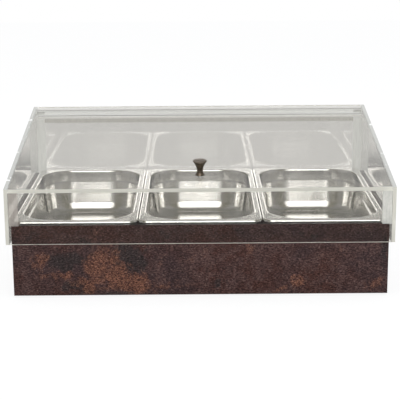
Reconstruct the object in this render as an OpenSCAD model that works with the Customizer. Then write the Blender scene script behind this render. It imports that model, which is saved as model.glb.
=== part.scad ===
// Buffet box for three hanging steel pans: a laminate base with a clear hood whose sloping
// lid flips up on a rod along the hood's top rear edge.
// Millimetres. Z is up, the front faces -Y and the origin is the centre of the footprint.

/* [Pans] */
// Distance from one pan to the next, which is also the width of one pan's place
pan_pitch = 176; // [165:1:190]
// Length of a pan over its flange, from front to rear
pan_len = 325; // [300:1:350]
// Depth of a pan from the flange's top to its underside
pan_depth = 65; // [50:1:68]
// Thickness of the pressed steel sheet
steel_t = 0.8; // [0.6:0.1:1.2]
// Distance from the flange's outer edge to the pan's opening
flange_w = 9.5; // [9:0.5:14]
// Corner radius of the pan's opening
open_r = 50; // [36:1:56]
// Corner radius of the flange's outer edge
flange_r = 12; // [8:1:16]
// Height of the flange's top over the boards, with its edge turned down
rim_h = 5.5; // [4.5:0.5:8]
// Outer radius of the two bends beside the flange
rim_r = 3; // [2:0.5:3.5]
// Depth of the stacking shoulder below the flange
shoulder_z = 17; // [12:1:24]
// Inward step of the stacking shoulder
shoulder_in = 2; // [1:0.5:4]
// Lean of the pan's walls
wall_lean = 9; // [2:0.5:12]
// Outer radius between a pan's walls and its floor
bottom_r = 18; // [12:1:26]

/* [Base] */
// Height of the boards' top edges above the table
base_h = 105; // [95:1:130]
// Thickness of the four laminate boards
board_t = 10; // [8:1:14]
// Board edge left bare in front of the pans and behind them
rim_show_y = 2.5; // [2:0.5:5]
// Board edge left bare beside the outer pans
rim_show_x = 1; // [1:0.5:4]
// Thickness of the floor panel
floor_t = 8; // [6:1:12]
// Height of the rubber feet
foot_h = 2; // [1:0.5:5]
// Diameter of the rubber feet
foot_d = 22; // [16:1:30]
// Edge length of the corner blocks in plan
block_w = 25; // [20:1:30]
// Height of the corner blocks
block_h = 30; // [26:1:33]
// Shank diameter of the wood screws
screw_d = 3.5; // [3:0.5:4]

/* [Hood] */
// Thickness of the clear sheet
sheet_t = 5; // [4:0.5:6]
// Gap between the hood and the base
hood_gap = 2.5; // [2:0.5:5]
// How far the hood reaches down over the base
skirt_h = 26; // [15:1:40]
// Height of the front panel and the lid's edge on it
front_h = 79.5; // [65:0.5:100]
// Rise of the lid from its front edge to the top rear edge
lid_rise = 59; // [40:1:80]
// How far the rear panel is set in from the side walls' rear edges
rear_inset = 0.6; // [0.5:0.1:1]
// Width of the corner strips
strip_w = 13; // [8:1:20]
// Height of the stiffening bar along the rear panel
bar_h = 6; // [3:0.5:8]

/* [Lid and hinge] */
// Play between the lid and each side wall
lid_play = 0.7; // [0.4:0.1:1.5]
// Gap between the closed lid and the front panel's top edge
lid_rest = 0.1; // [0.05:0.05:0.3]
// Diameter of the clear hinge rod
rod_d = 14; // [12:1:18]
// Depth of the flat along the rod where the lid is bonded
rod_flat = 0.15; // [0.1:0.05:0.2]
// Diameter of the hinge pins
pin_d = 5; // [4:0.5:6]
// Radial play of the hinge pins in the side walls
pin_play = 0.05; // [0.03:0.01:0.09]
// Length of each hinge pin inside the rod
pin_hold = 12; // [8:1:20]
// Thickness of the washer at each end of the rod
washer_t = 1; // [0.8:0.1:1.5]

/* [Knob] */
// Distance of the knob from the hood's front face, along the lid
knob_along = 47; // [35:1:90]
// Diameter of the knob's top
knob_d = 20; // [16:1:26]
// Diameter of the knob's foot
knob_foot_d = 13.6; // [12:0.2:16]
// Diameter of the knob's waist
knob_waist_d = 8.4; // [8:0.2:11]
// Height of the knob
knob_h = 22.5; // [19:0.5:30]

/* [Hidden] */
$fn = 96;

rust = "#4d3834";
rubber = "#202020";
block_wood = "#8b6f4e";
steel = "#c9c9c5";
screw_steel = "#a5a5a2";
clear = "#dfe4e2";
bronze = "#5b4f44";
nylon = "#efefec";

// Base
pan_count = 3;
pan_gap = 0.6;                                // free space between two pans' rims
pan_w = pan_pitch - pan_gap;
base_w = pan_count * pan_pitch + 2 * rim_show_x;
base_d = pan_len + 2 * rim_show_y;
floor_top = foot_h + floor_t;
pan_top = base_h + rim_h;                     // top of the pans' flanges
screw_grip = 7;                               // length of a wood screw inside a board
floor_screw_grip = 9;                         // length of a floor screw inside its block
screw_head_d = 2 * screw_d;
screw_head_h = 0.7 * screw_d;
foot_set = 12 + foot_d / 2;                   // from a board's inner face to a foot's centre

// Hood
hood_w = base_w + 2 * (hood_gap + sheet_t);
hood_d = base_d + 2 * (hood_gap + sheet_t);
hood_z = base_h - skirt_h;                    // lower edge of the hood
crease_z = hood_z + front_h;                  // top of the lid's front edge
top_z = crease_z + lid_rise;
inner_w = hood_w - 2 * sheet_t;
lid_slope = atan(lid_rise / hood_d);
strip_clear = 0.5;                            // between the strips and the pans' flanges
strip_y = pan_len / 2 + strip_clear;          // inner face of every corner strip
front_in_y = hood_d / 2 - sheet_t;            // inner face of the front panel, as a distance
rear_out_y = hood_d / 2 - rear_inset;
rear_in_y = rear_out_y - sheet_t;

// Hinge, in the lid's own frame: y runs up the slope from the crease and z points outwards
rod_r = rod_d / 2;
axis_under = rod_r - rod_flat;                // from the lid's underside to the hinge axis
axis_s = (hood_d - rod_r - (sheet_t + axis_under) * sin(lid_slope)) / cos(lid_slope);
lid_end_s = (hood_d - sheet_t * sin(lid_slope)) / cos(lid_slope);
hinge_y = hood_d / 2 - rod_r;
hinge_z = crease_z + axis_s * sin(lid_slope) - (sheet_t + axis_under) * cos(lid_slope);
rod_gap = 0.6;                                // between the rod and the rear panel's top edge
rear_top_z = hinge_z - rod_r - rod_gap;
end_play = 0.1;                               // between each hinge washer and its side wall
rod_len = inner_w - 2 * (washer_t + end_play);
bar_drop = 2;                                 // from the rear panel's top to the bar's top
bar_top_z = rear_top_z - bar_drop;

// Knob
knob_screw_d = 4;
knob_screw_grip = 9;                          // length of the screw inside the knob
knob_washer_t = 0.8;
knob_head_d = 8;
knob_head_h = 2;

// Moves its child into the lid's own frame, whose origin is the middle of the crease.
module on_lid() {
    translate([0, -hood_d / 2, crease_z]) rotate([lid_slope, 0, 0]) children();
}

// Extrudes an outline drawn as [y, z] along X, centred on X = 0.
module along_x(length) {
    rotate([90, 0, 90]) linear_extrude(length, center = true) children();
}

// Rectangle with true round corners, centred on the origin.
module round_rect(w, d, r) {
    square([w - 2 * r, d], center = true);
    square([w, d - 2 * r], center = true);
    for (x = [-1, 1], y = [-1, 1]) translate([x * (w / 2 - r), y * (d / 2 - r)]) circle(r);
}

// ---- Base -------------------------------------------------------------------------------

// Screw along +Z with a pan head below z = 0.
module pan_head_screw(length) {
    cylinder(h = length, d = screw_d);
    translate([0, 0, -screw_head_h]) cylinder(h = screw_head_h, d = screw_head_d);
}

// Screw along +Z with a countersunk head whose face is at z = 0.
module countersunk_screw(length, d, head_d, head_h) {
    cylinder(h = length, d = d);
    cylinder(h = head_h, d1 = head_d, d2 = d);
}

// Mirrors its child, drawn at the front left corner, to the corner with these signs.
module at_corner(x, y) {
    mirror([x > 0 ? 1 : 0, 0, 0]) mirror([0, y > 0 ? 1 : 0, 0]) children();
}

// The two screws that hold one corner block to its boards, for the front left corner.
module block_screw_pair() {
    in_x = -base_w / 2 + board_t;
    in_y = -base_d / 2 + board_t;
    grip = block_w + screw_grip;
    translate([in_x + block_w, in_y + block_w / 2, floor_top + 0.47 * block_h])
        rotate([0, -90, 0]) pan_head_screw(grip);
    translate([in_x + block_w / 2, in_y + block_w, floor_top + 0.8 * block_h])
        rotate([90, 0, 0]) pan_head_screw(grip);
}

// The countersunk screw that holds the floor panel to one block.
module floor_screw() {
    translate([-base_w / 2 + board_t + block_w / 2, -base_d / 2 + board_t + block_w / 2, foot_h])
        countersunk_screw(floor_t + floor_screw_grip, screw_d, screw_head_d, screw_d / 2);
}

module all_block_screws() {
    for (x = [-1, 1], y = [-1, 1]) at_corner(x, y) block_screw_pair();
}

module all_floor_screws() {
    for (x = [-1, 1], y = [-1, 1]) at_corner(x, y) floor_screw();
}

// Board with mitred ends along X, at the front.
module front_board() {
    color(rust) difference() {
        translate([0, 0, foot_h]) linear_extrude(base_h - foot_h) polygon([
            [-base_w / 2, -base_d / 2], [base_w / 2, -base_d / 2],
            [base_w / 2 - board_t, -base_d / 2 + board_t],
            [-base_w / 2 + board_t, -base_d / 2 + board_t]]);
        all_block_screws();
    }
}

module rear_board() {
    mirror([0, 1, 0]) front_board();
}

// Board with mitred ends along Y, at the left.
module left_board() {
    color(rust) difference() {
        translate([0, 0, foot_h]) linear_extrude(base_h - foot_h) polygon([
            [-base_w / 2, -base_d / 2], [-base_w / 2, base_d / 2],
            [-base_w / 2 + board_t, base_d / 2 - board_t],
            [-base_w / 2 + board_t, -base_d / 2 + board_t]]);
        all_block_screws();
    }
}

module right_board() {
    mirror([1, 0, 0]) left_board();
}

module floor_panel() {
    color(rust) difference() {
        translate([-base_w / 2 + board_t, -base_d / 2 + board_t, foot_h])
            cube([base_w - 2 * board_t, base_d - 2 * board_t, floor_t]);
        all_floor_screws();
    }
}

// Block that holds two boards and the floor together in a corner.
module corner_block(x, y) {
    color(block_wood) difference() {
        at_corner(x, y) translate([-base_w / 2 + board_t, -base_d / 2 + board_t, floor_top])
            cube([block_w, block_w, block_h]);
        all_block_screws();
        all_floor_screws();
    }
}

module block_screws() {
    color(screw_steel) all_block_screws();
}

module floor_screws() {
    color(screw_steel) all_floor_screws();
}

// Stick-on rubber foot under the floor panel.
module foot(x, y) {
    color(rubber) at_corner(x, y)
        translate([-base_w / 2 + board_t + foot_set, -base_d / 2 + board_t + foot_set, 0])
        cylinder(h = foot_h, d1 = foot_d - foot_h, d2 = foot_d);
}

// ---- Pans -------------------------------------------------------------------------------
// A pan is drawn with its flange's top at z = 0. The outlines of its bends are drawn as
// [u, z], where u is the distance from the centre of the corner that they turn round.

// Quarter of a bend: a ring between two radii, kept between two angles in degrees.
module bend(r, from, to) {
    reach = 2 * r;
    middle = (from + to) / 2;
    intersection() {
        difference() {
            circle(r);
            circle(r - steel_t);
        }
        polygon([[0, 0], reach * [cos(from), sin(from)], reach * [cos(middle), sin(middle)],
                 reach * [cos(to), sin(to)]]);
    }
}

// Outline of the flange's edge: a bend and a leg that is turned down.
module rim_outline() {
    translate([flange_r - rim_r, -rim_r]) bend(rim_r, 0, 90);
    translate([flange_r - steel_t, -rim_h]) square([steel_t, rim_h - rim_r]);
}

// Outline of the pressed wall, from the bend under the flange down to the floor.
module wall_outline() {
    out = [cos(wall_lean), -sin(wall_lean)];
    neck_z = -shoulder_z;                               // lower end of the upright neck
    step_z = neck_z - shoulder_in;                      // lower end of the sloping step
    top_u = open_r - shoulder_in;                       // inner face below the step
    centre_z = -pan_depth + bottom_r;
    rise = step_z - centre_z;
    centre_u = top_u - (bottom_r - steel_t) / cos(wall_lean) - rise * tan(wall_lean);
    centre = [centre_u, centre_z];
    foot_out = centre + bottom_r * out;
    foot_in = centre + (bottom_r - steel_t) * out;
    lap = 3;                                            // degrees that the wall runs into its bend
    foot_tip = centre + (bottom_r - steel_t / 2) * [cos(wall_lean + lap), -sin(wall_lean + lap)];
    translate([open_r + rim_r, -rim_r]) bend(rim_r, 90, 180);
    polygon([[open_r, -rim_r], [open_r + steel_t, -rim_r], [open_r + steel_t, neck_z],
             [top_u + steel_t / cos(wall_lean), step_z],
             foot_out, foot_tip, foot_in, [top_u, step_z], [open_r, neck_z]]);
    translate(centre) bend(bottom_r, -90, -wall_lean);
    translate([0, -pan_depth]) square([centre_u, steel_t]);
}

// Sweeps an outline round a rectangle whose corners turn round the points at +-cx, +-cy.
module sweep(cx, cy) {
    for (turn = [[cx, cy, 0], [-cx, cy, 90], [-cx, -cy, 180], [cx, -cy, 270]])
        translate([turn[0], turn[1], 0]) rotate([0, 0, turn[2]])
            rotate_extrude(angle = 90) children();
    for (side = [[cx, 2 * cy, 0], [cy, 2 * cx, 90], [cx, 2 * cy, 180], [cy, 2 * cx, 270]])
        rotate([0, 0, side[2]]) translate([side[0], 0, 0]) rotate([90, 0, 0])
            linear_extrude(side[1], center = true) children();
}

// Pressed steel pan that hangs by its flange.
module pan(place) {
    open_w = pan_w - 2 * flange_w;
    open_d = pan_len - 2 * flange_w;
    color(steel) translate([place * pan_pitch, 0, pan_top]) {
        translate([0, 0, -steel_t]) linear_extrude(steel_t) difference() {
            round_rect(pan_w - 2 * rim_r, pan_len - 2 * rim_r, flange_r - rim_r);
            round_rect(open_w + 2 * rim_r, open_d + 2 * rim_r, open_r + rim_r);
        }
        sweep(pan_w / 2 - flange_r, pan_len / 2 - flange_r) rim_outline();
        sweep(open_w / 2 - open_r, open_d / 2 - open_r) wall_outline();
        translate([0, 0, -pan_depth + steel_t / 2])
            cube([open_w - 2 * open_r, open_d - 2 * open_r, steel_t], center = true);
    }
}

// ---- Hood -------------------------------------------------------------------------------

// Height of the lid's underside over a point at this y.
function under_lid(y) = crease_z + (y + hood_d / 2) * tan(lid_slope) - sheet_t / cos(lid_slope);

// Front panel, whose top edge is cut to the lid's slope.
module hood_front() {
    out_y = -hood_d / 2;
    in_y = -front_in_y;
    color(clear) along_x(inner_w) polygon([
        [out_y, hood_z], [in_y, hood_z],
        [in_y, under_lid(in_y) - lid_rest], [out_y, under_lid(out_y) - lid_rest]]);
}

module hood_rear() {
    color(clear) translate([-inner_w / 2, rear_in_y, hood_z])
        cube([inner_w, sheet_t, rear_top_z - hood_z]);
}

// Side wall with the bore for its hinge pin; side is -1 at the left and 1 at the right.
module hood_side(side) {
    color(clear) translate([side * (hood_w - sheet_t) / 2, 0, 0]) difference() {
        along_x(sheet_t) polygon([
            [-hood_d / 2, hood_z], [hood_d / 2, hood_z],
            [hood_d / 2, top_z], [-hood_d / 2, crease_z]]);
        translate([0, hinge_y, hinge_z]) rotate([0, 90, 0])
            cylinder(h = 2 * sheet_t, d = pin_d + 2 * pin_play, center = true);
    }
}

// Strip in a corner of the hood, standing on the boards' top edges.
module corner_strip(side, from_y, depth, strip_top) {
    color(clear) translate([side * (inner_w - strip_w) / 2 - strip_w / 2, from_y, base_h])
        cube([strip_w, depth, strip_top - base_h]);
}

module front_strip(side) {
    lid_clear = 0.3;
    corner_strip(side, -front_in_y, front_in_y - strip_y, under_lid(-front_in_y) - lid_clear);
}

module rear_strip(side) {
    corner_strip(side, strip_y, rear_in_y - strip_y, bar_top_z);
}

module rear_bar() {
    length = inner_w - 2 * strip_w;
    color(clear) translate([-length / 2, strip_y, bar_top_z - bar_h])
        cube([length, rear_in_y - strip_y, bar_h]);
}

// ---- Lid and hinge ----------------------------------------------------------------------

// Screw that holds the knob, in the lid's frame, with its head let into the lid's underside.
module knob_fixing() {
    translate([0, knob_along, -sheet_t]) countersunk_screw(
        sheet_t + knob_washer_t + knob_screw_grip, knob_screw_d, knob_head_d, knob_head_h);
}

// Sloping lid: an upright front edge, and a rear edge that passes over the hinge rod.
module lid_panel() {
    color(clear) on_lid() difference() {
        along_x(inner_w - 2 * lid_play) polygon([
            [0, 0], [-sheet_t * tan(lid_slope), -sheet_t],
            [lid_end_s, -sheet_t], [lid_end_s, 0]]);
        knob_fixing();
    }
}

module hinge_rod() {
    color(clear) on_lid() translate([0, axis_s, -sheet_t - axis_under]) difference() {
        rotate([0, 90, 0]) cylinder(h = rod_len, r = rod_r, center = true);
        translate([-rod_len, -rod_r, axis_under]) cube([2 * rod_len, rod_d, rod_r]);
        for (side = [-1, 1]) translate([side * rod_len / 2, 0, 0]) rotate([0, 90, 0])
            cylinder(h = 2 * pin_hold, d = pin_d, center = true);
    }
}

// Pin pressed into an end of the rod, which turns in the side wall.
module hinge_pin(side) {
    inner_x = rod_len / 2 - pin_hold;
    length = hood_w / 2 - inner_x;
    color(clear) translate([side * (inner_x + length / 2), hinge_y, hinge_z])
        rotate([0, 90, 0]) cylinder(h = length, d = pin_d, center = true);
}

module hinge_washer(side) {
    color(nylon) translate([side * (rod_len + washer_t) / 2, hinge_y, hinge_z])
        rotate([0, 90, 0]) difference() {
            cylinder(h = washer_t, d = 2 * pin_d, center = true);
            cylinder(h = 2 * washer_t, d = pin_d, center = true);
        }
}

// ---- Knob -------------------------------------------------------------------------------

// Trumpet-shaped turned knob: a low foot, a flare from the waist and a nearly flat top.
module knob() {
    foot_r = knob_foot_d / 2;
    waist_r = knob_waist_d / 2;
    top_r = knob_d / 2;
    foot_h = 1.2;
    foot_bevel = 0.4;
    waist_z = 0.3 * knob_h;
    dome_h = 0.6;
    edge_r = 0.7;                                       // rounding of the top's thin edge
    edge_z = knob_h - dome_h - edge_r;                  // middle of that edge
    flare_end = edge_z - edge_r;
    steps = 14;
    neck = [for (i = [0:steps]) let (t = i / steps)
        [waist_r + (foot_r - foot_bevel - waist_r) * pow(1 - t, 2.4), foot_h + (waist_z - foot_h) * t]];
    flare = [for (i = [1:steps]) let (t = i / steps)
        [waist_r + (top_r - edge_r - waist_r) * pow(t, 1.75), waist_z + (flare_end - waist_z) * t]];
    edge = [for (a = [-80:20:80]) [top_r - edge_r + edge_r * cos(a), edge_z + edge_r * sin(a)]];
    dome = [for (i = [0:steps]) let (t = i / steps)
        [(top_r - edge_r) * (1 - t), knob_h - dome_h * pow(1 - t, 2)]];
    color(bronze) on_lid() translate([0, knob_along, knob_washer_t]) difference() {
        rotate_extrude() polygon(concat(
            [[0, 0], [foot_r - foot_bevel, 0], [foot_r, foot_bevel], [foot_r, foot_h - foot_bevel]],
            neck, flare, edge, dome));
        translate([0, 0, -1]) cylinder(h = knob_screw_grip + 1, d = knob_screw_d);
    }
}

module knob_washer() {
    color(nylon) on_lid() translate([0, knob_along, 0]) difference() {
        cylinder(h = knob_washer_t, d = knob_foot_d - 2);
        translate([0, 0, -1]) cylinder(h = knob_washer_t + 2, d = knob_screw_d);
    }
}

module knob_screw() {
    color(screw_steel) on_lid() knob_fixing();
}

front_board();
rear_board();
left_board();
right_board();
floor_panel();
corner_block(-1, -1);  // front_left_block
corner_block(1, -1);  // front_right_block
corner_block(-1, 1);  // rear_left_block
corner_block(1, 1);  // rear_right_block
block_screws();
floor_screws();
foot(-1, -1);  // front_left_foot
foot(1, -1);  // front_right_foot
foot(-1, 1);  // rear_left_foot
foot(1, 1);  // rear_right_foot
pan(-1);  // left_pan
pan(0);  // middle_pan
pan(1);  // right_pan
hood_front();
hood_rear();
hood_side(-1);  // hood_left_side
hood_side(1);  // hood_right_side
front_strip(-1);  // front_left_strip
front_strip(1);  // front_right_strip
rear_strip(-1);  // rear_left_strip
rear_strip(1);  // rear_right_strip
rear_bar();
lid_panel();
hinge_rod();
hinge_pin(-1);  // left_hinge_pin
hinge_pin(1);  // right_hinge_pin
hinge_washer(-1);  // left_hinge_washer
hinge_washer(1);  // right_hinge_washer
knob();
knob_washer();
knob_screw();
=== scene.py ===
"""Looks for the buffet box: materials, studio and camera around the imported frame. Metres."""
import math

import bpy
from mathutils import Matrix, Vector

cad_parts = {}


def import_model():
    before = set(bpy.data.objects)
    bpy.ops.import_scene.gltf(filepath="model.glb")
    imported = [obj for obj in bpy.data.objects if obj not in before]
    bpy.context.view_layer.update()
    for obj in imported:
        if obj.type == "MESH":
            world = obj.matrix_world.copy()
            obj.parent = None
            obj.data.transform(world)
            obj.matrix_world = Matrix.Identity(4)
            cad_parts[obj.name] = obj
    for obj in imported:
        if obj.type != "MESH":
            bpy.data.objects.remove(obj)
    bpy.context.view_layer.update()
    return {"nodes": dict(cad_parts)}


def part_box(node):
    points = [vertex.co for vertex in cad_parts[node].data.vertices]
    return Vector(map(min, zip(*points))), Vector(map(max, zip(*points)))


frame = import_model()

NODES = frame["nodes"]

# Sizes read off the frame
LID_LO, LID_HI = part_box("lid_panel")
LID_SLOPE = math.atan2(LID_HI.z - LID_LO.z, LID_HI.y - LID_LO.y)
PAN_TOP_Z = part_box("middle_pan")[1].z

ALONG_X = (1.0, 0.0, 0.0)
ALONG_Y = (0.0, 1.0, 0.0)
ALONG_Z = (0.0, 0.0, 1.0)
LID_NORMAL = (0.0, -math.sin(LID_SLOPE), math.cos(LID_SLOPE))


# ---- Node graphs -------------------------------------------------------------------------

# Noise lies mostly between these two values
NOISE_LOW, NOISE_HIGH = 0.3, 0.7


class Graph:
    """A material's or world's node tree, with short calls for the nodes used here."""

    def __init__(self, tree):
        self.tree = tree
        tree.nodes.clear()

    def feed(self, socket, source):
        """Link a socket or a node's first output, or set a plain value on the socket itself."""
        if isinstance(source, bpy.types.Node):
            source = source.outputs[0]
        if isinstance(source, bpy.types.NodeSocket):
            self.tree.links.new(source, socket)
        elif source is not None:
            socket.default_value = source

    def node(self, kind, *sources, **settings):
        """New node, with sources fed to its inputs in order and settings put on it."""
        made = self.tree.nodes.new(kind)
        for key, value in settings.items():
            setattr(made, key, value)
        for index, source in enumerate(sources):
            self.feed(made.inputs[index], source)
        return made

    def named(self, kind, inputs):
        """New node, with its inputs fed by their names."""
        made = self.node(kind)
        for name, value in inputs.items():
            self.feed(made.inputs[name.replace("_", " ")], value)
        return made

    # Numbers, vectors and colours

    def math(self, operation, a, b=None, clamp=False):
        return self.node("ShaderNodeMath", a, b, operation=operation, use_clamp=clamp).outputs[0]

    def vector(self, operation, a, b=None):
        made = self.node("ShaderNodeVectorMath", a, b, operation=operation)
        return made.outputs["Value" if operation in ("LENGTH", "DOT_PRODUCT") else "Vector"]

    def axis(self, vector, letter):
        return self.node("ShaderNodeSeparateXYZ", vector).outputs[letter]

    def mix(self, factor, a, b, kind="MIX"):
        """Colour mix. The node's inputs 6 and 7 and its output 2 are the colour ones."""
        made = self.node("ShaderNodeMix", data_type="RGBA", blend_type=kind)
        for index, source in ((0, factor), (6, a), (7, b)):
            self.feed(made.inputs[index], source)
        return made.outputs[2]

    def ramp(self, value, low, high, to_low=0.0, to_high=1.0):
        """Smooth step from to_low at low to to_high at high. low may be above high."""
        return self.node("ShaderNodeMapRange", value, low, high, to_low, to_high,
                         interpolation_type="SMOOTHSTEP").outputs[0]

    def band(self, value, rise_from, rise_to, fall_from, fall_to):
        """1 between rise_to and fall_from, with soft sides that reach 0."""
        return self.math("MULTIPLY", self.ramp(value, rise_from, rise_to),
                         self.ramp(value, fall_to, fall_from))

    # The surface and its noise

    def place(self):
        return self.node("ShaderNodeTexCoord").outputs["Object"]

    def normal(self):
        return self.node("ShaderNodeTexCoord").outputs["Normal"]

    def facing(self, direction):
        """How squarely the surface faces along a direction, either way, from 0 to 1."""
        return self.math("ABSOLUTE", self.vector("DOT_PRODUCT", self.normal(), direction))

    def noise(self, place, scale, detail, rough, output="Fac"):
        made = self.named("ShaderNodeTexNoise", {"Vector": place, "Scale": scale,
                                                 "Detail": detail, "Roughness": rough})
        return made.outputs[output]

    def streaks(self, place, scales, detail, rough):
        """Noise with a scale of its own along each axis."""
        return self.noise(self.vector("MULTIPLY", place, scales), 1.0, detail, rough)

    def spread(self, noise, low=0.0, high=1.0):
        """Noise stretched over its usual span to run from low to high."""
        return self.ramp(noise, NOISE_LOW, NOISE_HIGH, low, high)

    # Shaders

    def principled(self, **inputs):
        return self.named("ShaderNodeBsdfPrincipled", inputs)

    def bump(self, height, strength, distance):
        return self.named("ShaderNodeBump", {"Strength": strength, "Distance": distance,
                                             "Height": height}).outputs[0]

    def diffuse(self, colour):
        return self.node("ShaderNodeBsdfDiffuse", colour)

    def transparent(self, colour):
        return self.node("ShaderNodeBsdfTransparent", colour)

    def milky(self, colour):
        """Half of the light comes back off the surface, half of it comes through."""
        return self.blend(0.5, self.diffuse(colour),
                          self.node("ShaderNodeBsdfTranslucent", colour))

    def blend(self, factor, a, b):
        return self.node("ShaderNodeMixShader", factor, a, b)

    def surface(self, shader, kind="ShaderNodeOutputMaterial"):
        self.named(kind, {"Surface": shader})

    # Kinds of ray

    def any_ray(self, *kinds):
        """1 for a ray of any of the kinds, 0 for the others."""
        rays = self.node("ShaderNodeLightPath")
        found = rays.outputs[kinds[0]]
        for kind in kinds[1:]:
            found = self.math("MAXIMUM", found, rays.outputs[kind])
        return found

    def sight_rays(self):
        """1 for the rays that should see the backdrop: camera, mirror and clear sheet."""
        return self.any_ray("Is Camera Ray", "Is Glossy Ray", "Is Transmission Ray")

    def unmirrored(self):
        """1 for the rays that no mirror has turned yet."""
        depth = self.node("ShaderNodeLightPath").outputs["Glossy Depth"]
        return self.math("LESS_THAN", depth, 0.5)


def material(name):
    made = bpy.data.materials.new(name)
    made.use_nodes = True
    return made, Graph(made.node_tree)


def dress(mat, *names):
    for name in names:
        for slot in NODES[name].material_slots:
            slot.material = mat


# ---- Laminate ----------------------------------------------------------------------------

PLUM_DARK = (0.041, 0.0235, 0.0235, 1)
PLUM_RED = (0.052, 0.0225, 0.0180, 1)
PLUM_LIGHT = (0.067, 0.037, 0.0335, 1)
BLACKENED = (0.024, 0.020, 0.020, 1)
RUST_DARK = (0.075, 0.032, 0.022, 1)
RUST_BRIGHT = (0.165, 0.070, 0.043, 1)
FLECK = (0.30, 0.22, 0.19, 1)
UP_DOWN_FACE_COLOUR = (0.020, 0.013, 0.012, 1)

# Rust clouds on the front: centre x and z, half width and height, strength
RUST_CLOUDS = [
    (-0.160, 0.020, 0.022, 0.010, 0.80),
    (-0.196, 0.033, 0.028, 0.007, 0.85),
    (-0.225, 0.052, 0.012, 0.015, 0.75),
    (-0.148, 0.046, 0.016, 0.020, 0.95),
    (-0.130, 0.060, 0.020, 0.012, 0.80),
    (-0.118, 0.034, 0.020, 0.020, 1.00),
    (-0.096, 0.018, 0.026, 0.016, 1.00),
    (-0.140, 0.090, 0.022, 0.012, 0.55),
    (-0.050, 0.014, 0.050, 0.006, 0.62),
    (-0.034, 0.056, 0.030, 0.014, 0.42),
    (0.068, 0.064, 0.010, 0.009, 0.55),
    (0.136, 0.020, 0.009, 0.011, 0.85),
    (0.112, 0.008, 0.012, 0.005, 0.70),
    (0.186, 0.056, 0.024, 0.016, 0.42),
    (0.205, 0.090, 0.030, 0.010, 0.40),
    (0.246, 0.016, 0.014, 0.010, 0.66),
]
# Blackened patches, in the same form
DARK_CLOUDS = [
    (-0.190, 0.054, 0.034, 0.016, 0.80),
    (-0.176, 0.014, 0.018, 0.008, 0.80),
    (-0.100, 0.046, 0.026, 0.022, 0.95),
    (-0.105, 0.067, 0.034, 0.006, 0.80),
    (-0.165, 0.086, 0.008, 0.006, 0.75),
    (-0.232, 0.088, 0.016, 0.006, 0.60),
    (-0.140, 0.002, 0.130, 0.004, 0.70),
    (-0.030, 0.094, 0.040, 0.008, 0.55),
    (0.022, 0.022, 0.012, 0.010, 0.75),
    (0.044, 0.090, 0.020, 0.010, 0.70),
    (0.096, 0.092, 0.018, 0.008, 0.60),
    (0.156, 0.086, 0.014, 0.007, 0.70),
    (0.262, 0.060, 0.008, 0.030, 0.75),
]
# Where a cloud starts and is full, in its half sizes, and how far noise bends its outline
CLOUD_REACH, CLOUD_FULL = 2.0, 0.3
CLOUD_BEND = 0.050


def clouds(g, place, spots):
    """Tallest of many soft spots, each a round fall-off stretched to its own size."""
    total = None
    for x, z, half_w, half_h, strength in spots:
        away = g.vector("SUBTRACT", place, (x, 0.0, z))
        scaled = g.vector("MULTIPLY", away, (1.0 / half_w, 0.0, 1.0 / half_h))
        spot = g.ramp(g.vector("LENGTH", scaled), CLOUD_REACH, CLOUD_FULL, 0.0, strength)
        total = spot if total is None else g.math("MAXIMUM", total, spot)
    return total


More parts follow.
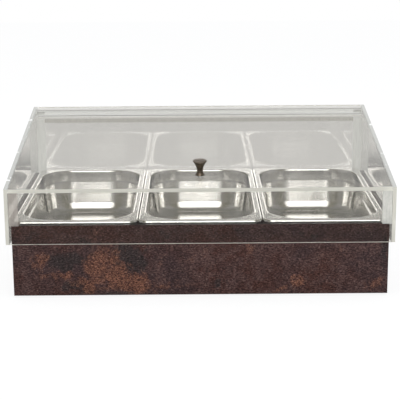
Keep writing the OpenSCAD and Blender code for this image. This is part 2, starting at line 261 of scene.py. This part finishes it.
def laminate():
    """Rusted-steel look: plum brown with orange and blackened patches under a dashed emboss,
    whose light and shade are partly painted into the colour.
    """
    mat, g = material("rust_laminate")
    here = g.place()
    wide = g.noise(here, 14.0, 4.0, 0.55)
    patchy = g.noise(here, 70.0, 8.0, 0.68)
    grains = g.noise(here, 620.0, 3.0, 0.65)
    dashes = g.streaks(here, (260.0, 260.0, 620.0), 3.0, 0.62)
    warp = g.noise(here, 45.0, 6.0, 0.65, "Color")
    shift = g.vector("SUBTRACT", warp, (0.5, 0.5, 0.5))
    bent = g.vector("ADD", here, g.vector("MULTIPLY", shift, (CLOUD_BEND,) * 3))
    ragged = g.math("MULTIPLY", g.math("SUBTRACT", patchy, 0.5), 1.9)

    # Plum ground
    colour = g.mix(g.ramp(wide, 0.40, 0.62), PLUM_DARK, PLUM_RED)
    colour = g.mix(g.ramp(patchy, 0.42, 0.62), colour, PLUM_LIGHT)

    # Blackened and rusty patches, with a little stray rust between them
    black = g.ramp(g.math("ADD", clouds(g, bent, DARK_CLOUDS), ragged), 0.46, 0.86)
    colour = g.mix(g.math("MULTIPLY", black, 0.80), colour, BLACKENED)
    rusty = g.ramp(g.math("ADD", clouds(g, bent, RUST_CLOUDS), ragged), 0.40, 0.95)
    rusty = g.math("MULTIPLY", rusty, g.ramp(grains, 0.36, 0.56, 0.55, 1.0))
    stray = g.math("MULTIPLY", g.ramp(wide, 0.50, 0.66), g.ramp(patchy, 0.56, 0.68, 0.0, 0.35))
    orange = g.mix(g.ramp(grains, 0.40, 0.62), RUST_DARK, RUST_BRIGHT)
    colour = g.mix(g.math("MAXIMUM", rusty, stray), colour, orange)

    # Painted highlight and painted shade of the lit emboss: dashes and grains brighten and
    # darken the colour, and a few grains show as pale flecks
    emboss_painted_light = g.math("ADD", g.ramp(dashes, 0.36, 0.64, 0.32, 1.42),
                   g.ramp(grains, 0.40, 0.60, 0.0, 0.42))
    emboss_painted_light = g.node("ShaderNodeCombineXYZ", emboss_painted_light, emboss_painted_light, emboss_painted_light)
    colour = g.vector("MULTIPLY", colour, emboss_painted_light)
    flecks = g.math("MULTIPLY", g.ramp(grains, 0.58, 0.68), g.ramp(dashes, 0.50, 0.60))
    colour = g.mix(g.math("MULTIPLY", flecks, 0.5), colour, FLECK)

    # Faces that look up or down, the boards' upper and lower edges among them, are darker
    colour = g.mix(g.ramp(g.facing(ALONG_Z), 0.7, 0.8), colour, UP_DOWN_FACE_COLOUR)

    height = g.math("ADD", g.math("MULTIPLY", dashes, 0.7), g.math("MULTIPLY", grains, 0.3))
    g.surface(g.principled(Base_Color=colour, Roughness=g.spread(patchy, 0.42, 0.58),
                           Specular_IOR_Level=0.15, Normal=g.bump(height, 0.45, 0.0007)))
    return mat


# ---- Clear pieces ------------------------------------------------------------------------

ACRYLIC_IOR = 1.49
ACRYLIC_HUE = (1.0, 0.988, 0.957)
ACRYLIC_SHADOW = (0.96, 0.96, 0.95, 1)
# Painted edge light: pale edges, and grey edges with painted glints, stand in for the light a
# clear edge bends and reflects
EDGE_PAINTED_PALE = (0.86, 0.84, 0.75, 1)
EDGE_PAINTED_GREY = (0.50, 0.50, 0.475, 1)
EDGE_PAINTED_GLINT = (0.95, 0.95, 0.94, 1)
EDGE_PAINTED_PALE_SHARE = 0.8
EDGE_PAINTED_GREY_SHARE = 0.95

FROSTED_CLEAR = (0.97, 0.97, 0.96, 1)
FROSTED_PALE = (0.88, 0.88, 0.84, 1)
FROSTED_SPAN = 0.05

ROD_CLEAR = (0.98, 0.98, 0.97, 1)
ROD_GREY = (0.60, 0.60, 0.58, 1)
# Colours of the rod's painted highlight line and painted dark reflection line
ROD_PAINTED_LIGHT = (0.97, 0.97, 0.96, 1)
ROD_PAINTED_DARK = (0.20, 0.20, 0.19, 1)
ROD_SHARE = 0.10
ROD_PAINTED_LINE_SHARE = 0.7


def acrylic(name, tint, broad, milky):
    """Clear sheet. broad is its faces' normal, milky that of the edges that light up pale. The
    pale edges are painted light, and the other edges are painted grey shade with painted glints,
    in place of the light a clear edge bends and reflects.
    """
    mat, g = material(name)
    clear = g.principled(Base_Color=(*(tint * part for part in ACRYLIC_HUE), 1),
                         Roughness=0.0, IOR=ACRYLIC_IOR, Transmission_Weight=1.0)
    # Painted light on the edges: pale on those facing along milky, painted grey shade with
    # painted glints on the others
    painted_pale_edge = g.ramp(g.facing(milky), 0.75, 0.9)
    not_broad = g.ramp(g.facing(broad), 0.5, 0.2)
    painted_grey_edge = g.math("MULTIPLY", not_broad, g.ramp(painted_pale_edge, 0.5, 0.1))
    painted_glint = g.ramp(g.noise(g.place(), 45.0, 2.0, 0.5), 0.60, 0.66)
    body = g.blend(g.math("MULTIPLY", painted_pale_edge, EDGE_PAINTED_PALE_SHARE), clear,
                   g.milky(EDGE_PAINTED_PALE))
    body = g.blend(g.math("MULTIPLY", painted_grey_edge, EDGE_PAINTED_GREY_SHARE), body,
                   g.diffuse(g.mix(painted_glint, EDGE_PAINTED_GREY, EDGE_PAINTED_GLINT)))
    passes = g.any_ray("Is Shadow Ray", "Is Diffuse Ray")
    g.surface(g.blend(passes, body, g.transparent(ACRYLIC_SHADOW)))
    return mat


def frosted(name, share, colour=FROSTED_PALE):
    """Clear bar that looks pale over about share of its surface, a little more or less along
    fine streaks. Light passes through the rest of the surface.
    """
    mat, g = material(name)
    grain = g.streaks(g.place(), (300.0, 300.0, 40.0), 2.0, 0.5)
    cover = g.spread(grain, share - FROSTED_SPAN, share + FROSTED_SPAN)
    g.surface(g.blend(cover, g.transparent(FROSTED_CLEAR), g.milky(colour)))
    return mat


def clear_rod():
    """Solid clear rod along x, with a painted light line and a painted dark line along it,
    painted reflections of the kind a solid clear rod shows inside.
    """
    mat, g = material("clear_rod")
    up = g.axis(g.normal(), "Z")
    # Painted highlight line and painted dark reflection line, placed by the height of the
    # surface normal
    light = g.band(up, -0.34, -0.22, -0.10, 0.02)
    dark = g.band(up, 0.62, 0.72, 0.80, 0.88)
    colour = g.mix(dark, g.mix(light, ROD_GREY, ROD_PAINTED_LIGHT), ROD_PAINTED_DARK)
    painted_lines = g.math("MULTIPLY", g.math("MAXIMUM", light, dark), ROD_PAINTED_LINE_SHARE)
    share = g.math("MAXIMUM", painted_lines, ROD_SHARE)
    g.surface(g.blend(share, g.transparent(ROD_CLEAR), g.diffuse(colour)))
    return mat


# ---- Metal, rubber, nylon and wood -------------------------------------------------------

STEEL_DARK = (0.86, 0.855, 0.84, 1)
STEEL_LIGHT = (0.90, 0.895, 0.88, 1)
# Below its polished flange a pan turns satin, between these depths
SATIN_FROM, SATIN_TO = 0.004, 0.014
SATIN_ROUGHNESS = 0.09


def pan_steel():
    """Drawn steel: polished flange, satin walls and floor."""
    mat, g = material("pan_steel")
    here = g.place()
    drawn = g.streaks(here, (60.0, 60.0, 900.0), 3.0, 0.6)
    mottled = g.noise(here, 60.0, 3.0, 0.55)
    rough = g.math("ADD", g.spread(drawn, 0.09, 0.12), g.spread(mottled, 0.0, 0.02))
    satin = g.ramp(g.axis(here, "Z"), PAN_TOP_Z - SATIN_FROM, PAN_TOP_Z - SATIN_TO,
                   0.0, SATIN_ROUGHNESS)
    g.surface(g.principled(Base_Color=g.mix(g.spread(mottled), STEEL_DARK, STEEL_LIGHT),
                           Roughness=g.math("ADD", rough, satin), Metallic=1.0,
                           Normal=g.bump(drawn, 0.006, 0.0001)))
    return mat


def bronze():
    """Dark bronze with the fine rings of turning."""
    mat, g = material("knob_bronze")
    turned = g.streaks(g.place(), (60.0, 60.0, 2500.0), 2.0, 0.5)
    colour = g.mix(g.spread(turned), (0.145, 0.115, 0.086, 1), (0.20, 0.163, 0.127, 1))
    g.surface(g.principled(Base_Color=colour, Roughness=g.spread(turned, 0.22, 0.34),
                           Metallic=1.0))
    return mat


def plain(name, dark, light, rough, metallic=0.0):
    """Simple finish with a fine variation between two colours."""
    mat, g = material(name)
    grain = g.noise(g.place(), 300.0, 3.0, 0.55)
    g.surface(g.principled(Base_Color=g.mix(g.spread(grain), dark, light),
                           Roughness=g.spread(grain, rough, rough + 0.12), Metallic=metallic,
                           Normal=g.bump(grain, 0.15, 0.0003)))
    return mat


def block_wood():
    """Upright blocks with their grain along z."""
    mat, g = material("block_wood")
    grain = g.streaks(g.place(), (350.0, 350.0, 25.0), 4.0, 0.6)
    colour = g.mix(g.spread(grain), (0.26, 0.15, 0.075, 1), (0.46, 0.30, 0.17, 1))
    g.surface(g.principled(Base_Color=colour, Roughness=g.spread(grain, 0.5, 0.7),
                           Normal=g.bump(grain, 0.3, 0.0004)))
    return mat


# ---- What wears what ---------------------------------------------------------------------

dress(laminate(), "front_board", "rear_board", "left_board", "right_board", "floor_panel")
dress(block_wood(),
      "front_left_block", "front_right_block", "rear_left_block", "rear_right_block")
dress(plain("screw_steel", (0.42, 0.42, 0.41, 1), (0.56, 0.56, 0.55, 1), 0.25, 1.0),
      "block_screws", "floor_screws", "knob_screw")
dress(plain("foot_rubber", (0.012, 0.012, 0.012, 1), (0.022, 0.022, 0.022, 1), 0.6),
      "front_left_foot", "front_right_foot", "rear_left_foot", "rear_right_foot")
dress(pan_steel(), "left_pan", "middle_pan", "right_pan")
# The sheets' tints, darker than clear acrylic and different from sheet to sheet, are partly
# painted shade, darkest on the rear sheet
dress(acrylic("acrylic_front", 0.80, broad=ALONG_Y, milky=ALONG_Z), "hood_front")
dress(acrylic("acrylic_rear", 0.71, broad=ALONG_Y, milky=ALONG_Z), "hood_rear")
dress(acrylic("acrylic_side", 0.80, broad=ALONG_X, milky=ALONG_Y),
      "hood_left_side", "hood_right_side")
dress(acrylic("acrylic_lid", 0.91, broad=LID_NORMAL, milky=ALONG_Y), "lid_panel")
dress(clear_rod(), "hinge_rod")
# The front left strip wears a darker, browner copy of the strip finish: painted shade and a
# painted brown reflection
dress(frosted("painted_shade_strip", 0.50, (0.66, 0.61, 0.58, 1)), "front_left_strip")
dress(frosted("pale_strip", 0.60, (0.95, 0.95, 0.93, 1)),
      "front_right_strip", "rear_left_strip", "rear_right_strip")
dress(frosted("frosted_bar", 0.40, (0.68, 0.66, 0.60, 1)), "rear_bar")
dress(frosted("clear_pins", 0.10), "left_hinge_pin", "right_hinge_pin")
dress(plain("nylon", (0.70, 0.70, 0.67, 1), (0.80, 0.80, 0.78, 1), 0.4),
      "left_hinge_washer", "right_hinge_washer", "knob_washer")
dress(bronze(), "knob")


# ---- Floor -------------------------------------------------------------------------------

WHITE = (1, 1, 1, 1)
BLACK = (0, 0, 0, 1)
FLOOR_LIT = (0.90, 0.90, 0.90, 1)
FLOOR_DARK = (0.05, 0.05, 0.05, 1)
FLOOR_HALF = 4.0
FLOOR_GLOW = 1.02
FLOOR_GLOW_SHARE = 0.85
# Mirrors see a dark round patch on the floor, which fades out between two radii
PATCH_CENTRE = (0.0, -0.40, 0.0)
PATCH_INNER, PATCH_OUTER = 1.05, 1.40
PATCH_LEVEL = 0.10


def floor_material():
    """White where it is looked at, with the object's shadow, and dark where mirrors look."""
    mat, g = material("studio_floor")
    away = g.vector("LENGTH", g.vector("SUBTRACT", g.place(), PATCH_CENTRE))
    patch = g.ramp(away, PATCH_INNER, PATCH_OUTER, PATCH_LEVEL, 1.0)
    tone = g.math("MAXIMUM", g.unmirrored(), patch)
    sight = g.sight_rays()
    seen = g.diffuse(g.mix(tone, FLOOR_DARK, FLOOR_LIT))
    glow = g.node("ShaderNodeEmission", g.mix(tone, BLACK, WHITE), FLOOR_GLOW)
    g.surface(g.blend(g.math("MULTIPLY", sight, FLOOR_GLOW_SHARE),
                      g.blend(sight, g.diffuse(FLOOR_LIT), seen), glow))
    return mat


def floor():
    mesh = bpy.data.meshes.new("floor")
    corners = [(x * FLOOR_HALF, y * FLOOR_HALF, 0)
               for x, y in ((-1, -1), (1, -1), (1, 1), (-1, 1))]
    mesh.from_pydata(corners, [], [(0, 1, 2, 3)])
    mesh.materials.append(floor_material())
    made = bpy.data.objects.new("floor", mesh)
    bpy.context.scene.collection.objects.link(made)


# ---- Room --------------------------------------------------------------------------------

# Levels of the room that mirrors see, by height above the horizon in degrees
KEY_LEVELS = [(0, 0.2), (8, 0.2), (10, 8.0), (14, 8.0), (17, 3.0), (60, 3.0), (67, 1.3),
              (75, 0.3), (90, 0.25)]
FRONT_LEVELS = [(0, 0.2), (8, 0.2), (11, 2.6), (62, 2.6), (69, 1.5), (75, 0.3), (90, 0.25)]
REAR_LEVELS = [(0, 3.0), (9, 3.2), (13, 0.62), (20, 0.62), (23, 2.0), (25, 2.0), (28, 0.4),
               (34, 0.4), (48, 1.0), (62, 1.4), (72, 0.3), (90, 0.25)]
CORNER_LEVELS = [(0, 0.28), (50, 0.28), (66, 0.3), (90, 0.25)]
SIDE_LEVELS = [(0, 0.55), (25, 0.55), (42, 0.4), (90, 0.25)]
CORNER_HUE = (1.0, 0.96, 0.80, 1)

# Where one part of the room gives way to the next: -1 is straight in front, 1 straight behind
CORNER_FADE = (0.35, 0.70)
FRONT_FADE = (-0.90, -0.985)
KEY_FADE = (-0.982, -0.99)
REAR_FADE = (0.93, 0.985)

# The even light on the object
SOFT_COLOUR = (0.95, 0.97, 1.0, 1)
SOFT_LEVEL = 0.92


def profile(g, height, levels):
    """Grey level read off (degrees, level) stops along a height from 0 to 1."""
    made = g.node("ShaderNodeValToRGB", height)
    stops = made.color_ramp.elements
    while len(stops) < len(levels):
        stops.new(0.5)
    top = max(level for _, level in levels)
    for stop, (degrees, level) in zip(stops, levels):
        stop.position = degrees / 90
        stop.color = (level / top, level / top, level / top, 1)
    return g.math("MULTIPLY", made.outputs[0], top)


def world():
    """Soft even light for the object, white for the eye, and a banded room for mirrors."""
    made = bpy.data.worlds.new("studio")
    bpy.context.scene.world = made
    made.use_nodes = True
    g = Graph(made.node_tree)
    ray = g.node("ShaderNodeTexCoord").outputs["Generated"]
    x, y, z = g.node("ShaderNodeSeparateXYZ", ray).outputs
    height = g.math("DIVIDE", g.math("ARCSINE", z), math.pi / 2, clamp=True)
    level = g.math("SQRT", g.math("ADD", g.math("MULTIPLY", x, x), g.math("MULTIPLY", y, y)))
    toward = g.math("DIVIDE", y, g.math("MAXIMUM", level, 0.001))
    key, front, rear, corner, side = (
        profile(g, height, levels)
        for levels in (KEY_LEVELS, FRONT_LEVELS, REAR_LEVELS, CORNER_LEVELS, SIDE_LEVELS))
    corner = g.mix(1.0, corner, CORNER_HUE, "MULTIPLY")
    room = g.mix(g.ramp(g.math("ABSOLUTE", toward), *CORNER_FADE), side, corner)
    for fade, part in ((FRONT_FADE, front), (KEY_FADE, key), (REAR_FADE, rear)):
        room = g.mix(g.ramp(toward, *fade), room, part)
    soft = g.node("ShaderNodeBackground", SOFT_COLOUR, SOFT_LEVEL)
    seen = g.node("ShaderNodeBackground", g.mix(g.unmirrored(), room, WHITE), 1.0)
    g.surface(g.blend(g.sight_rays(), soft, seen), "ShaderNodeOutputWorld")


# ---- Lamps -------------------------------------------------------------------------------

LAMP_TARGET = (0.0, 0.0, 0.1)
# Name, place, width and depth, watts, and whether mirrors and clear sheet show it
LAMPS = [
    ("overhead", (0.0, 0.1, 1.7), (1.8, 1.2), 11.0, False),
    ("front_fill", (1.0, -2.3, 1.3), (0.5, 0.4), 9.0, False),
    ("flash", (-0.032, -1.78, 0.56), (0.06, 0.04), 0.8, True),
]


def lamp(name, place, size, watts, mirrored):
    data = bpy.data.lights.new(name, "AREA")
    data.shape = "RECTANGLE"
    data.size, data.size_y = size
    data.energy = watts
    made = bpy.data.objects.new(name, data)
    made.location = place
    aim = Vector(LAMP_TARGET) - Vector(place)
    made.rotation_euler = aim.to_track_quat("-Z", "Y").to_euler()
    made.visible_glossy = mirrored
    made.visible_transmission = mirrored
    bpy.context.scene.collection.objects.link(made)


# ---- Camera ------------------------------------------------------------------------------

# From a fit to the photograph's straight edges
PHOTO_PX = 400
FOCAL_PX = 1195.05
SENSOR_MM = 36.0
CAMERA_AT = (-0.0047, -1.7822, 0.5379)
PITCH_DOWN = math.radians(13.821)
YAW_RIGHT = math.radians(0.157)
ROLL = math.radians(0.385)
CLIP_END = 50.0


def camera():
    data = bpy.data.cameras.new("camera")
    data.sensor_width = SENSOR_MM
    data.lens = FOCAL_PX / PHOTO_PX * SENSOR_MM
    data.clip_end = CLIP_END
    made = bpy.data.objects.new("camera", data)
    turn = (Matrix.Rotation(-YAW_RIGHT, 4, "Z")
            @ Matrix.Rotation(math.pi / 2 - PITCH_DOWN, 4, "X")
            @ Matrix.Rotation(-ROLL, 4, "Z"))
    made.matrix_world = Matrix.Translation(CAMERA_AT) @ turn
    bpy.context.scene.collection.objects.link(made)
    bpy.context.scene.camera = made


floor()
world()
for settings in LAMPS:
    lamp(*settings)
camera()
bpy.context.scene.view_settings.view_transform = "Standard"
